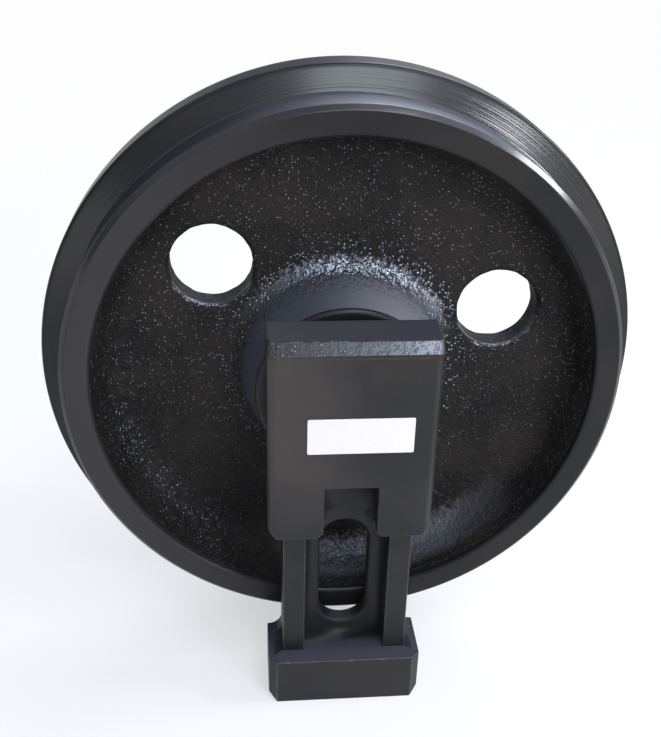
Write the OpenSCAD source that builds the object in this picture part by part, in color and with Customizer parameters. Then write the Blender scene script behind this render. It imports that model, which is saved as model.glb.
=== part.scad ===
// Front idler of a tracked excavator, in millimetres.
// The wheel turns on a fixed shaft, and each end of the shaft sits in a sliding bracket casting.
// +Z is up, the shaft lies along Y, and the part stands on its two end blocks at Z = 0.

/* [Rim] */
// Diameter over the centre flange that runs between the track links
flange_d = 440; // [425:1:460]
// Width of the flange across its top
flange_top_w = 26; // [18:1:30]
// Width of the flange where it meets the treads
flange_base_w = 38; // [32:1:44]
// Edge radius along the top of the flange
flange_round = 2.5; // [1:0.5:5]
// Radius at the foot of the flange
flange_foot = 2; // [1:0.5:5]
// Diameter of the two treads that the track links run on
tread_d = 404; // [392:1:412]
// Chamfer on the outer edge of each tread
tread_chamfer = 3.5; // [1:0.5:6]
// Width over the two rim faces
rim_w = 109; // [96:1:124]
// Diameter of the inner edge of each rim face
rim_bore_d = 364; // [352:1:374]
// Edge radius inside each rim face
rim_lip = 3; // [1:0.5:5]
// How far the inner rim wall leans in towards the web
rim_draft = 9; // [3:0.5:14]
// Fillet between the inner rim wall and the web
rim_fillet = 20; // [8:1:26]

/* [Web] */
// Thickness of the web
web_t = 25; // [18:1:34]
// Number of round holes in the web
hole_count = 3; // [2:1:4]
// Diameter of each web hole
hole_d = 60; // [40:1:64]
// Diameter of the circle that the web holes lie on
hole_pcd = 247; // [236:1:256]
// Angle of the first web hole above the X axis
hole_turn = 20.3; // [0:0.1:120]

/* [Hub] */
// Wall of the hub around the bracket's boss
hub_lip = 12; // [8:0.5:16]
// Edge radius at each end of the hub
hub_round = 4; // [1:0.5:6]
// How far the hub widens from its end to the web
hub_draft = 12; // [6:0.5:16]
// Bell-shaped fillet between the hub and the web
hub_fillet = 15; // [8:1:20]

/* [Shaft] */
// Diameter of the shaft
shaft_d = 50; // [44:1:56]
// Chamfer on the shaft ends
shaft_chamfer = 1.5; // [0.5:0.5:3]
// Width of the thrust collar in the middle of the shaft
collar_w = 20; // [14:1:30]
// Radial gap between the collar and the hub bore
collar_gap = 0.5; // [0.3:0.1:1]
// Diameter of the oil gallery along the shaft
gallery_d = 7; // [4:0.5:9]
// Diameter of the cross hole that feeds the hub
feed_d = 5; // [3:0.5:7]

/* [Bushes] */
// Wall of each bush
bush_wall = 6.5; // [4:0.5:9]
// Radial running clearance between bush and shaft
bush_clearance = 0.06; // [0.02:0.01:0.1]
// End play between each bush and the collar
thrust_gap = 0.3; // [0.1:0.1:0.8]
// How far each bush stays below the floor of the seal pocket
bush_recess = 0.5; // [0.2:0.1:2]

/* [Face seals] */
// Radial gap between the seal rings and the shaft
seal_bore_gap = 2; // [1:0.5:3]
// Radial wall of a seal ring behind its lapped face
seal_nose_wall = 8; // [5:0.5:10]
// Axial thickness of the lapped flange of a seal ring
seal_flange_t = 3; // [2:0.5:5]
// Gap between the lapped flange and the wall of its pocket
seal_rim_gap = 0.7; // [0.4:0.1:1.5]
// Oil film between two lapped faces
seal_film = 0.1; // [0.05:0.05:0.2]
// Section diameter of the rubber rings
toric_d = 8.5; // [6:0.5:10]
// Seating gap around a rubber ring
toric_gap = 0.1; // [0.05:0.05:0.3]
// Spare depth at the bottom of each seal pocket
pocket_spare = 0.8; // [0.5:0.1:2]
// Half of the gap between the hub's pocket and the bracket's pocket
mouth_gap = 1; // [0.5:0.5:2]

/* [Bracket] */
// Height of the shaft axis above the end blocks' lower faces
axis_h = 245; // [232:1:260]
// Width of the head block and of the end block
bracket_w = 116; // [110:1:130]
// Depth of the head block and of the end block along the shaft
bracket_depth = 45.5; // [40:0.5:56]
// Gap between a rim face and the back of the bracket
rim_gap = 9.5; // [6:0.5:14]
// Gap between the hub end and the back of the bracket
hub_gap = 3; // [2:0.5:5]
// How far the boss reaches into the hub
boss_reach = 8; // [5:0.5:10]
// Wall of the boss around its seal pocket
boss_wall = 7.3; // [5:0.1:10]
// Radial gap between the boss and the hub
boss_gap = 2; // [1:0.5:3]
// How far the milled front of the head block lies behind the rough lip above it
mill_step = 1.2; // [0.5:0.1:3]
// Chamfer on the upright front edges
upright_chamfer = 6; // [2:0.5:9]
// Height of the head block above the shaft axis
head_rise = 62; // [56:1:72]
// Depth of the head block below the shaft axis
head_drop = 90.5; // [80:0.5:98]
// Chamfer along the top front edge of the head block
head_chamfer = 7.5; // [3:0.5:12]
// Chamfer along the top back edge of the head block
head_back_chamfer = 6; // [2:0.5:8]
// Radius of the lower corners of the head block
head_corner = 8; // [2:0.5:10]
// Width of the slot in the head block
slot_w = 38; // [30:1:44]
// Height of the slot in the head block
slot_h = 42.5; // [30:0.5:46]
// Chamfer at the open end of the slot
slot_mouth = 4; // [1:0.5:6]
// Thickness of the back plate below the head block
plate_t = 12; // [9:0.5:16]
// Distance between the two ribs
rib_span = 61; // [54:1:66]
// Width of each rib
rib_w = 16.5; // [12:0.5:19]
// Height of each rib in front of the back plate
rib_h = 20; // [14:0.5:26]
// Fillet between the sides of the back plate and the end block
foot_fillet = 10; // [4:0.5:10]
// Width of the oblong hole in the back plate
oblong_w = 37; // [28:1:44]
// Length of the oblong hole
oblong_l = 96; // [70:1:104]
// Plate left between the oblong hole and the end block
oblong_foot = 10.5; // [6:0.5:14]
// Height of the end block
end_h = 40; // [32:1:46]
// Chamfer on the lower corners of the end block
end_corner = 6; // [2:0.5:10]

/* [Shaft fixing] */
// Radial clearance of the shaft in the bracket bore
bore_clearance = 0.03; // [0.01:0.01:0.06]
// Wall left in front of the blind bore
front_wall = 7; // [5:0.5:10]
// Gap between the shaft end and the floor of the bore
shaft_end_gap = 1; // [0.5:0.5:2]
// Depth of each O-ring groove in the shaft
groove_depth = 2.6; // [2:0.1:3.5]
// Width of each O-ring groove
groove_w = 4; // [3.6:0.1:5]
// Distance from the mouth of the bore to the middle of the groove
groove_inset = 6; // [4:0.5:8]
// Seating gap around an O-ring
o_ring_gap = 0.05; // [0.02:0.01:0.1]
// Diameter of the lock pins
pin_d = 12; // [8:0.5:14]
// Radial clearance of a lock pin in its hole and notch
pin_clearance = 0.05; // [0.02:0.01:0.1]
// How deep a lock pin bites into the shaft
pin_bite = 4.5; // [3:0.5:5.5]
// Distance from the front face to the axis of the lock pin
pin_inset = 22; // [18:0.5:24]
// How far a lock pin reaches past the notch
pin_past = 5; // [2:0.5:10]
// Distance from the side face to the snap ring
clip_inset = 4; // [2:0.5:8]
// Thickness of the snap ring
clip_t = 1.2; // [0.8:0.1:2]
// Radial width of the snap ring
clip_w = 2.2; // [1.5:0.1:3]
// Depth of the snap ring's groove in the wall of the pin hole
clip_bite = 1; // [0.5:0.1:1.5]
// Seating gap around the snap ring
clip_gap = 0.05; // [0.02:0.01:0.1]
// Opening between the two ends of the snap ring
clip_mouth = 3; // [2:0.5:5]

/* [Oil plug] */
// Thread diameter of the oil plug
plug_d = 14; // [10:1:16]
// Length of the plug's thread
plug_l = 12; // [8:1:16]
// Radial clearance of the plug in its tapped hole
plug_clearance = 0.05; // [0.02:0.01:0.1]
// Depth left under the end of the plug
plug_spare = 2; // [1:0.5:4]
// Diameter of the plug's head
head_d = 21; // [18:1:24]
// Height of the plug's head
head_h = 5; // [4:0.5:6]
// Width across the flats of the plug's hexagon socket
socket_w = 8; // [6:0.5:10]
// Depth of the hexagon socket
socket_depth = 3.5; // [2:0.5:3.5]
// Thickness of the washer under the head
washer_t = 1.5; // [1:0.5:2]
// Radial gap between the plug's head and the access hole
access_gap = 3; // [2:0.5:5]

/* [Hidden] */

$fn = 96;
// Straight steps in each rounded corner of an outline
arc_steps = 6;
// How far a cut runs past the face that it opens
past = 1;
// How far two parts of one casting run into each other
sink = 4;

paint = [0.09, 0.09, 0.1];
bare_steel = [0.62, 0.63, 0.65];
bronze = [0.72, 0.52, 0.27];
copper = [0.75, 0.43, 0.28];
rubber = [0.05, 0.05, 0.05];

// Distances along the shaft from the middle of the wheel
rim_face = rim_w / 2;
bracket_back = rim_face + rim_gap;
bracket_front = bracket_back + bracket_depth;
milled_front = bracket_front - mill_step;
plate_front = bracket_back + plate_t;
hub_end = bracket_back - hub_gap;
boss_end = bracket_back - boss_reach;
seal_plane = boss_end - mouth_gap;
hub_mouth = seal_plane - mouth_gap;
seal_depth = seal_film / 2 + seal_flange_t + toric_d + 2 * toric_gap + pocket_spare;
hub_pocket = seal_plane - seal_depth;
bracket_pocket = seal_plane + seal_depth;
bush_end = hub_pocket - bush_recess;
bush_start = collar_w / 2 + thrust_gap;
bore_floor = milled_front - front_wall;
shaft_end = bore_floor - shaft_end_gap;
groove_at = bracket_pocket + groove_inset;
pin_at = bracket_front - pin_inset;

// Radii about the shaft axis
flange_r = flange_d / 2;
tread_r = tread_d / 2;
rim_bore_r = rim_bore_d / 2;
shaft_r = shaft_d / 2;
bush_bore_r = shaft_r + bush_clearance;
hub_bore_r = bush_bore_r + bush_wall;
collar_r = hub_bore_r - collar_gap;
seal_bore_r = shaft_r + seal_bore_gap;
seal_nose_r = seal_bore_r + seal_nose_wall;
pocket_r = seal_nose_r + toric_d + 2 * toric_gap;
seal_flange_r = pocket_r - seal_rim_gap;
boss_r = pocket_r + boss_wall;
hub_counterbore_r = boss_r + boss_gap;
hub_end_r = hub_counterbore_r + hub_lip;
bracket_bore_r = shaft_r + bore_clearance;
toric_middle_r = (seal_nose_r + pocket_r) / 2;
toric_offset = seal_film / 2 + seal_flange_t + toric_gap + toric_d / 2;
groove_r = shaft_r - groove_depth;
o_ring_r = (bracket_bore_r - groove_r) / 2 - o_ring_gap;
o_ring_middle_r = (bracket_bore_r + groove_r) / 2;
access_r = head_d / 2 + access_gap;

// Heights above the end blocks' lower faces
head_top = axis_h + head_rise;
head_bottom = axis_h - head_drop;
lip_bottom = head_top - head_chamfer;
slot_top = head_bottom + slot_h;
oblong_bottom = end_h + oblong_foot;

// Distance from the middle of the bracket to the outside of a rib
rib_outer = rib_span / 2 + rib_w;

// Lock pin: drop below the axis, its two ends along X and its hole
pin_r = pin_d / 2;
pin_hole_r = pin_r + pin_clearance;
pin_drop = shaft_r + pin_r - pin_bite;
notch_half = sqrt(pow(shaft_r, 2) - pow(shaft_r - pin_bite, 2));
pin_tip = notch_half + pin_past;
clip_outer = bracket_w / 2 - clip_inset;
clip_inner = clip_outer - clip_t;
pin_head = clip_inner - clip_gap;
clip_groove_r = pin_hole_r + clip_bite;
clip_r = clip_groove_r - clip_gap;

// Oil plug along the shaft
head_seat = shaft_end + washer_t;
plug_tip = head_seat - plug_l;
tap_floor = plug_tip - plug_spare;

// Point i of a closed list, counted round from either end
function around(points, i) = points[(i + len(points)) % len(points)];
function flat(p) = [p[0], p[1]];
function unit(v) = v / norm(v);
// Shortest turn from one angle to another
function turn(from, to) = (to - from + 540) % 360 - 180;
function heading(v) = atan2(v[1], v[0]);
// Arc of the given radius that rounds the corner b between a and c
function corner_arc(a, b, c, radius) =
    let (
        u = unit(a - b),
        w = unit(c - b),
        half = acos(u * w) / 2,
        middle = b + unit(u + w) * radius / sin(half),
        start = heading(b + u * radius / tan(half) - middle),
        sweep = turn(start, heading(b + w * radius / tan(half) - middle))
    )
    [for (i = [0:arc_steps]) let (angle = start + sweep * i / arc_steps)
        middle + radius * [cos(angle), sin(angle)]];
// Outline whose corners [x, y, radius] are rounded where the radius is above zero
function rounded(corners) =
    [for (i = [0:len(corners) - 1]) let (b = corners[i])
        each b[2] > 0
            ? corner_arc(flat(around(corners, i - 1)), flat(b), flat(around(corners, i + 1)), b[2])
            : [flat(b)]];
// Outline corners seen in a mirror across the middle of the wheel
function other_side(corners) =
    [for (i = [len(corners) - 1:-1:0]) [corners[i][0], -corners[i][1], corners[i][2]]];

// Stands a shape's own Z axis along the shaft
module on_axis() translate([0, 0, axis_h]) rotate([-90, 0, 0]) children();
// Ring or disc between two radii and two places along the shaft
module band(inner, outer, from, to) {
    on_axis() translate([0, 0, from]) difference() {
        cylinder(r = outer, h = to - from);
        if (inner > 0)
            translate([0, 0, -past]) cylinder(r = inner, h = to - from + 2 * past);
    }
}
// Rubber ring of round section
module round_ring(middle, section, at) {
    on_axis() translate([0, 0, at]) rotate_extrude() translate([middle, 0]) circle(r = section, $fn = 32);
}
// Shapes drawn on the far side, turned to the near side
module near() rotate([0, 0, 180]) children();
// Outline in X and Z, pulled along Y
module along_y(from, to) translate([0, to, 0]) rotate([90, 0, 0]) linear_extrude(to - from) children();
// Outline in Y and Z, pulled along X
module along_x(from, to) translate([from, 0, 0]) rotate([90, 0, 90]) linear_extrude(to - from) children();
// Outline in X and Y, pulled up
module along_z(from, to) translate([0, 0, from]) linear_extrude(to - from) children();

module idler_wheel() {
    side = [
        [flange_r, flange_top_w / 2, flange_round],
        [tread_r, flange_base_w / 2, flange_foot],
        [tread_r, rim_face - tread_chamfer, 0],
        [tread_r - tread_chamfer, rim_face, 0],
        [rim_bore_r, rim_face, rim_lip],
        [rim_bore_r - rim_draft, web_t / 2, rim_fillet],
        [hub_end_r + hub_draft, web_t / 2, hub_fillet],
        [hub_end_r, hub_end, hub_round],
        [hub_counterbore_r, hub_end, 0],
        [hub_counterbore_r, hub_mouth, 0],
        [pocket_r, hub_mouth, 0],
        [pocket_r, hub_pocket, 0],
        [hub_bore_r, hub_pocket, 0]
    ];
    color(paint) difference() {
        on_axis() rotate_extrude() polygon(rounded(concat(side, other_side(side))));
        for (i = [0:hole_count - 1])
            on_axis() rotate([0, 0, -hole_turn - i * 360 / hole_count])
                translate([hole_pcd / 2, 0, -web_t / 2 - past])
                    cylinder(d = hole_d, h = web_t + 2 * past);
    }
}

module shaft() {
    side = [
        [collar_r, collar_w / 2, 0],
        [shaft_r, collar_w / 2, 0],
        [shaft_r, groove_at - groove_w / 2, 0],
        [groove_r, groove_at - groove_w / 2, 0],
        [groove_r, groove_at + groove_w / 2, 0],
        [shaft_r, groove_at + groove_w / 2, 0],
        [shaft_r, shaft_end - shaft_chamfer, 0],
        [shaft_r - shaft_chamfer, shaft_end, 0],
        [0, shaft_end, 0]
    ];
    color(bare_steel) difference() {
        on_axis() rotate_extrude() polygon(rounded(concat(side, other_side(side))));
        pin_hole();
        near() pin_hole();
        band(0, plug_d / 2 + plug_clearance, tap_floor, shaft_end + past);
        band(0, gallery_d / 2, 0, tap_floor + past);
        translate([0, 0, axis_h]) cylinder(d = feed_d, h = collar_r + past);
    }
}

module bush() color(bronze) band(bush_bore_r, hub_bore_r, bush_start, bush_end);

// Lapped ring: way is -1 for the ring in the hub and 1 for the ring in the bracket
module seal_ring(way) {
    face = seal_plane + way * seal_film / 2;
    back = face + way * seal_flange_t;
    tail = seal_plane + way * (seal_depth - pocket_spare);
    section = [
        [seal_bore_r, face],
        [seal_flange_r, face],
        [seal_flange_r, back],
        [seal_nose_r, back],
        [seal_nose_r, tail],
        [seal_bore_r, tail]
    ];
    color(bare_steel) on_axis() rotate_extrude() polygon(section);
}

module toric(way) color(rubber) round_ring(toric_middle_r, toric_d / 2, seal_plane + way * toric_offset);

module shaft_o_ring() color(rubber) round_ring(o_ring_middle_r, o_ring_r, groove_at);

// Head block outline seen from the front, with its lower corners rounded
module head_face() {
    half = bracket_w / 2;
    polygon(rounded([
        [-half, head_bottom, head_corner],
        [half, head_bottom, head_corner],
        [half, head_top, 0],
        [-half, head_top, 0]
    ]));
}

// Head block outline seen from the side, with its two top edges chamfered
module head_side() {
    polygon([
        [bracket_back, head_bottom],
        [bracket_front, head_bottom],
        [bracket_front, lip_bottom],
        [bracket_front - head_chamfer, head_top],
        [bracket_back + head_back_chamfer, head_top],
        [bracket_back, head_top - head_back_chamfer]
    ]);
}

// What milling takes off the front and the upright front edges, seen from above
module milled_off(front) {
    half = bracket_w / 2;
    polygon([
        [-half - past, bracket_front + past],
        [-half - past, front - upright_chamfer],
        [-half, front - upright_chamfer],
        [-half + upright_chamfer, front],
        [half - upright_chamfer, front],
        [half, front - upright_chamfer],
        [half + past, front - upright_chamfer],
        [half + past, bracket_front + past]
    ]);
}

// Slot outline seen from the front, chamfered at its open end
module slot_face() {
    half = slot_w / 2;
    polygon([
        [-half, slot_top],
        [-half, head_bottom + slot_mouth],
        [-half - slot_mouth, head_bottom],
        [-half - slot_mouth, head_bottom - past],
        [half + slot_mouth, head_bottom - past],
        [half + slot_mouth, head_bottom],
        [half, head_bottom + slot_mouth],
        [half, slot_top]
    ]);
}

module head_block() {
    difference() {
        intersection() {
            along_y(bracket_back, bracket_front) head_face();
            along_x(-bracket_w / 2, bracket_w / 2) head_side();
        }
        along_z(head_bottom - past, lip_bottom) milled_off(milled_front);
        along_y(plate_front, bracket_front + past) slot_face();
    }
}

// End block outline seen from the front, with its lower corners chamfered
module end_face() {
    half = bracket_w / 2;
    polygon([
        [-half + end_corner, 0],
        [half - end_corner, 0],
        [half, end_corner],
        [half, end_h],
        [-half, end_h],
        [-half, end_corner]
    ]);
}

module end_block() {
    difference() {
        along_y(bracket_back, bracket_front) end_face();
        along_z(-past, end_h + past) milled_off(bracket_front);
    }
}

// Fillet that fills the corner between a side of the back plate and the end block
module foot_face() {
    radius = min(foot_fillet, bracket_w / 2 - rib_outer);
    middle = [rib_outer + radius, end_h + radius];
    arc = [for (i = [0:arc_steps]) let (angle = 270 - 90 * i / arc_steps)
        middle + radius * [cos(angle), sin(angle)]];
    polygon(concat(
        [[rib_outer - sink, end_h + radius], [rib_outer - sink, end_h - sink], [middle[0], end_h - sink]],
        arc
    ));
}

// Back plate and two ribs between the blocks
module channel() {
    height = head_bottom - end_h + 2 * sink;
    difference() {
        translate([-rib_outer, bracket_back, end_h - sink])
            cube([2 * rib_outer, plate_t + rib_h, height]);
        translate([-rib_span / 2, plate_front, end_h - sink - past])
            cube([rib_span, rib_h + past, height + 2 * past]);
    }
    for (side = [0, 1])
        mirror([side, 0, 0]) along_y(bracket_back, plate_front) foot_face();
}

module oblong_hole() {
    low = oblong_bottom + oblong_w / 2;
    high = oblong_bottom + oblong_l - oblong_w / 2;
    for (z = [low, high])
        translate([0, plate_front + past, z]) rotate([90, 0, 0])
            cylinder(d = oblong_w, h = plate_t + 2 * past);
    translate([-oblong_w / 2, bracket_back - past, low])
        cube([oblong_w, plate_t + 2 * past, high - low]);
}

// Hole for the lock pin, from the side face of the block to just past the notch in the shaft
module pin_hole() {
    translate([-bracket_w / 2 - past, pin_at, axis_h - pin_drop]) rotate([0, 90, 0])
        cylinder(r = pin_hole_r, h = bracket_w / 2 + past + pin_tip + pin_clearance);
}

module clip_groove() {
    translate([-clip_outer - clip_gap, pin_at, axis_h - pin_drop]) rotate([0, 90, 0])
        cylinder(r = clip_groove_r, h = clip_t + 2 * clip_gap);
}

module bracket() {
    color(paint) difference() {
        union() {
            head_block();
            channel();
            end_block();
            band(0, boss_r, boss_end, bracket_back + sink);
        }
        oblong_hole();
        band(0, pocket_r, boss_end - past, bracket_pocket);
        band(0, bracket_bore_r, bracket_pocket - past, bore_floor);
        pin_hole();
        clip_groove();
    }
}

module bracket_with_access() {
    color(paint) difference() {
        bracket();
        band(0, access_r, bore_floor - past, bracket_front + past);
    }
}

module lock_pin() {
    color(bare_steel) translate([-pin_head, pin_at, axis_h - pin_drop]) rotate([0, 90, 0])
        cylinder(r = pin_r, h = pin_head + pin_tip);
}

module pin_circlip() {
    color(bare_steel) translate([-clip_outer, pin_at, axis_h - pin_drop]) rotate([0, 90, 0]) difference() {
        cylinder(r = clip_r, h = clip_t);
        translate([0, 0, -past]) cylinder(r = clip_r - clip_w, h = clip_t + 2 * past);
        translate([0, -clip_mouth / 2, -past]) cube([clip_r + past, clip_mouth, clip_t + 2 * past]);
    }
}

module oil_plug() {
    color(bare_steel) difference() {
        union() {
            band(0, plug_d / 2, plug_tip, head_seat + past);
            band(0, head_d / 2, head_seat, head_seat + head_h);
        }
        on_axis() translate([0, 0, head_seat + head_h - socket_depth])
            cylinder(d = socket_w / cos(30), h = socket_depth + past, $fn = 6);
    }
}

module plug_washer() color(copper) band(plug_d / 2 + plug_clearance, head_d / 2, shaft_end, head_seat);

idler_wheel();
shaft();
near() bush();  // bush_near
bush();  // bush_far
near() seal_ring(-1);  // wheel_seal_ring_near
seal_ring(-1);  // wheel_seal_ring_far
near() seal_ring(1);  // bracket_seal_ring_near
seal_ring(1);  // bracket_seal_ring_far
near() toric(-1);  // wheel_toric_near
toric(-1);  // wheel_toric_far
near() toric(1);  // bracket_toric_near
toric(1);  // bracket_toric_far
near() shaft_o_ring();  // shaft_o_ring_near
shaft_o_ring();  // shaft_o_ring_far
near() bracket();  // bracket_near
bracket_with_access();  // bracket_far
near() lock_pin();  // lock_pin_near
lock_pin();  // lock_pin_far
near() pin_circlip();  // pin_circlip_near
pin_circlip();  // pin_circlip_far
oil_plug();
plug_washer();
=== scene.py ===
# %% [markdown]
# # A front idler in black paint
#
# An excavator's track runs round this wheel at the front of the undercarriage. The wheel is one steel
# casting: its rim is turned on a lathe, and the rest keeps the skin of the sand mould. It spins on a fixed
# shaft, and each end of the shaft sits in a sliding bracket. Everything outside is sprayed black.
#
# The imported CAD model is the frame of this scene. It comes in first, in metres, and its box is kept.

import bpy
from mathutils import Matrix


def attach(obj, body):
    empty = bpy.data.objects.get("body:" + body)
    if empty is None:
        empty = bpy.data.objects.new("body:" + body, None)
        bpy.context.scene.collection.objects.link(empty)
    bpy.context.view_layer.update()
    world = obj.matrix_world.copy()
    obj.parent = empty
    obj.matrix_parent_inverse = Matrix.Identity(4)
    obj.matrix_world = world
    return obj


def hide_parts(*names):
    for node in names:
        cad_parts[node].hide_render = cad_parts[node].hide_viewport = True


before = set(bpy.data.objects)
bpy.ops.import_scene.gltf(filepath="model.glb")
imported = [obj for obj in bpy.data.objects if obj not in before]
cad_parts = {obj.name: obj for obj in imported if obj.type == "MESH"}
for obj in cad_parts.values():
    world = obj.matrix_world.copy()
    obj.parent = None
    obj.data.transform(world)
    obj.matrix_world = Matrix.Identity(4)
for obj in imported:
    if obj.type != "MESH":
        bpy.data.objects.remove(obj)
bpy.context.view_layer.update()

# %% [markdown]
# ## Camera
#
# The picture was taken from a little above and left of the shaft, close enough to show perspective. A
# camera could be turned by hand until it looks right. Here its place, its three angles and its lens are
# named values that were worked out from the round rim and the straight edges of the bracket, because the
# eye is a poor judge of perspective. The roll is a small tilt of the camera round its own line of sight.

# %% Place the camera
import math

import bpy
from mathutils import Matrix, Vector

CAMERA_PLACE = Vector((-0.0716, -0.6630, 0.5791))
CAMERA_YAW = math.radians(5.59)
CAMERA_PITCH = math.radians(27.37)
CAMERA_ROLL = math.radians(1.59)
CAMERA_LENS_MM = 47.61
CAMERA_NEAREST = 0.01


def put(name, data):
    """A new object in the scene."""
    made = bpy.data.objects.new(name, data)
    bpy.context.scene.collection.objects.link(made)
    return made


ahead = Vector((
    math.sin(CAMERA_YAW) * math.cos(CAMERA_PITCH),
    math.cos(CAMERA_YAW) * math.cos(CAMERA_PITCH),
    -math.sin(CAMERA_PITCH),
))
level = ahead.cross(Vector((0, 0, 1))).normalized()
upright = level.cross(ahead)
right = level * math.cos(CAMERA_ROLL) + upright * math.sin(CAMERA_ROLL)
above = right.cross(ahead)

camera = put("camera", bpy.data.cameras.new("camera"))
camera.data.lens = CAMERA_LENS_MM
camera.data.clip_start = CAMERA_NEAREST
camera.matrix_world = Matrix.Translation(CAMERA_PLACE) @ Matrix((right, above, -ahead)).transposed().to_4x4()
bpy.context.scene.camera = camera
print("camera looks along", [round(c, 3) for c in ahead])

# %% [markdown]
# ## Shader sums in Python
#
# Every finish below is a net of shader nodes. Such a net is usually drawn by hand, and in code it soon
# turns into a long list of links. The class `Signal` wraps one output socket, so that `1 - mask * 0.5` in
# Python adds the Math nodes for that sum. `Net` holds one node tree, and its method `node` makes any other
# node: first the settings, then the values or links of its sockets. `Finish` is the net of one material.

# %% Class for one signal
class Signal:
    """One output of a shader node, usable in Python sums."""

    def __init__(self, net, socket):
        self.net = net
        self.socket = socket

    def sum_with(self, operation, first, second):
        return self.net.node("Math", {"operation": operation}, {0: first, 1: second})

    def __add__(self, other):
        return self.sum_with("ADD", self, other)

    def __radd__(self, other):
        return self.sum_with("ADD", other, self)

    def __sub__(self, other):
        return self.sum_with("SUBTRACT", self, other)

    def __rsub__(self, other):
        return self.sum_with("SUBTRACT", other, self)

    def __mul__(self, other):
        return self.sum_with("MULTIPLY", self, other)

    def __rmul__(self, other):
        return self.sum_with("MULTIPLY", other, self)


print("sums that a signal takes part in: + - *")

# %% Classes for nets and finishes
class Net:
    """One node tree."""

    def __init__(self, tree):
        self.tree = tree

    def node(self, kind, settings, sockets, out=0):
        made = self.tree.nodes.new("ShaderNode" + kind)
        for name, value in settings.items():
            setattr(made, name, value)
        for key, value in sockets.items():
            self.feed(made.inputs[key], value)
        return Signal(self, made.outputs[out])

    def feed(self, socket, value):
        if isinstance(value, Signal):
            self.tree.links.new(value.socket, socket)
        else:
            socket.default_value = value

    def part(self, vector, axis):
        """One number of a vector."""
        return self.node("SeparateXYZ", {}, {0: vector}, axis)

    def step(self, value, start, end):
        """0 before start, 1 past end, and smooth between; start may be the larger one."""
        return self.node("MapRange", {"interpolation_type": "SMOOTHSTEP"}, {
            "Value": value, "From Min": start, "From Max": end})

    def mix(self, mask, first, second):
        """First colour where the mask is 0, second where it is 1."""
        return self.node("Mix", {"data_type": "RGBA"}, {0: mask, 6: first, 7: second}, 2)


class Finish(Net):
    """A material with one principled shader; keyword values are set on the shader's own sockets."""

    def __init__(self, name, **fixed):
        self.material = bpy.data.materials.new(name)
        self.material.use_nodes = True
        super().__init__(self.material.node_tree)
        self.shader = self.tree.nodes["Principled BSDF"]
        self.cover(**fixed)

    def place(self):
        """Where a point of the piece is, in the piece's own metres."""
        return self.node("TexCoord", {}, {}, "Object")

    def at(self, axis):
        """One number of that place."""
        return self.part(self.place(), axis)

    def facing(self, axis):
        """One number of the direction that the surface faces."""
        return self.part(self.node("NewGeometry", {}, {}, "Normal"), axis)

    def noise(self, vector, scale, detail=2.0, roughness=0.5):
        return self.node("TexNoise", {}, {
            "Vector": vector, "Scale": scale, "Detail": detail, "Roughness": roughness})

    def relief(self, height, depth):
        bump = self.node("Bump", {}, {"Height": height, "Strength": 1.0, "Distance": depth})
        self.feed(self.shader.inputs["Normal"], bump)

    def cover(self, **values):
        for socket, value in values.items():
            self.feed(self.shader.inputs[socket.replace("_", " ")], value)
        return self.material


print("finishes are built from", Finish.__name__, "and", Signal.__name__)

# %% [markdown]
# ## Paint on turned steel
#
# The rim's faces, the treads and the flange are turned, and one thin satin coat lies over the tool marks.
# The marks run round the axle, so they depend on only two lengths: the distance from the axle and the
# place along it. Noise over those two numbers gives rings on the faces and lines on the treads in one go,
# where a picture texture would have to be fitted to each face. The same distance tells the faces, the
# treads and the flange apart. The left part of the faces is painted lighter and warmer, as painted light.
# The upper treads get a pale painted sheen on the right, a painted highlight, and treads and flange have a
# glossier coat above the axle than below it.

# %% Turned paint
AXLE_HEIGHT = 0.245
BLACK = (0.0085, 0.0085, 0.0095, 1)
WARM_BLACK = (0.0150, 0.0132, 0.0125, 1)
# Painted light: colour of the lighter left part of the faces.
FACE_PAINTED_LIGHT = (0.0330, 0.0300, 0.0285, 1)
# Painted highlight: colour of the pale sheen on the upper treads.
TREAD_PAINTED_SHEEN = (0.1200, 0.1270, 0.1480, 1)
FACE_END, TREAD_END, FLANK_END = (0.1975, 0.1990), (0.2065, 0.2035), (0.2185, 0.2165)
SHEEN_TURN = (0.72, 1.20)
LEFT_LIGHT_SIDE = (0.02, -0.20)
GLOSSY_HEIGHT = (AXLE_HEIGHT + 0.02, AXLE_HEIGHT + 0.13)
RING_SCALE, RING_DEPTH = 900, 0.00010


def around_axle(finish):
    """A vector of the distance from the axle and the place along it."""
    axle = (0, 0, AXLE_HEIGHT)
    here = finish.node("VectorMath", {"operation": "SUBTRACT"}, {0: finish.place(), 1: axle})
    across = finish.node("VectorMath", {"operation": "MULTIPLY"}, {0: here, 1: (1, 0, 1)})
    distance = finish.node("VectorMath", {"operation": "LENGTH"}, {0: across}, "Value")
    return finish.node("CombineXYZ", {}, {"X": distance, "Y": finish.part(here, "Y")})


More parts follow.
